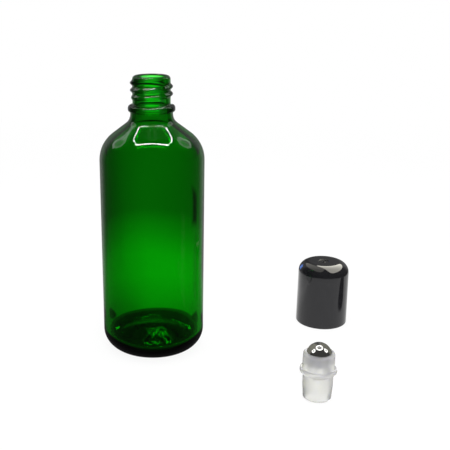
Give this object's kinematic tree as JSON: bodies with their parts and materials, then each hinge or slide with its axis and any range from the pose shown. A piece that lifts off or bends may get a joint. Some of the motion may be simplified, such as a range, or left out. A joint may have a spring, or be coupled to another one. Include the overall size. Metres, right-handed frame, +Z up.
{
  "type": "roll-on bottle",
  "caption": "Glass roll-on bottle with a screw neck, a press-in roller fitment holding a steel ball, and a screw cap with an inner seal, standing apart.",
  "frame": {"origin": "middle of the bottle's standing ring, on the surface that all the pieces stand on", "axes": "+Z up along the bottle's axis, out of its mouth; +X towards the loose cap and fitment; front towards -Y"},
  "size_m": [0.1145, 0.0941, 0.1202],
  "materials": {
    "green_glass": "clear green, gloss",
    "frosted_plastic": "translucent, satin",
    "polished_ball": "mirror polished",
    "cap_plastic": "gloss black",
    "seal_plastic": "soft, satin"
  },
  "bodies": {
    "bottle": {"bottle": "green_glass"},
    "fitment": {"roller_housing": "frosted_plastic"},
    "ball": {"roller_ball": "polished_ball"},
    "seal": {"cap_seal": "seal_plastic"},
    "cap": {"cap_shell": "cap_plastic"}
  },
  "joints": [
    {"name": "fitment_carry", "type": "slide", "parent": "bottle", "child": "fitment", "axis": [-0.3847, 0.2937, 0.8751], "range_m": [0, 0.17027]},
    {"name": "ball_roll", "type": "hinge", "parent": "fitment", "child": "ball", "pos_m": [0.0655, -0.05, 0.0182], "axis": [1, 0, 0], "continuous": true},
    {"name": "cap_carry", "type": "slide", "parent": "bottle", "child": "seal", "axis": [-0.4079, -0.127, 0.9042], "range_m": [0, 0.19687]},
    {"name": "cap_turn", "type": "hinge", "parent": "seal", "child": "cap", "pos_m": [0.0803, 0.025, 0.015], "axis": [0, 0, 1], "continuous": true}
  ]
}
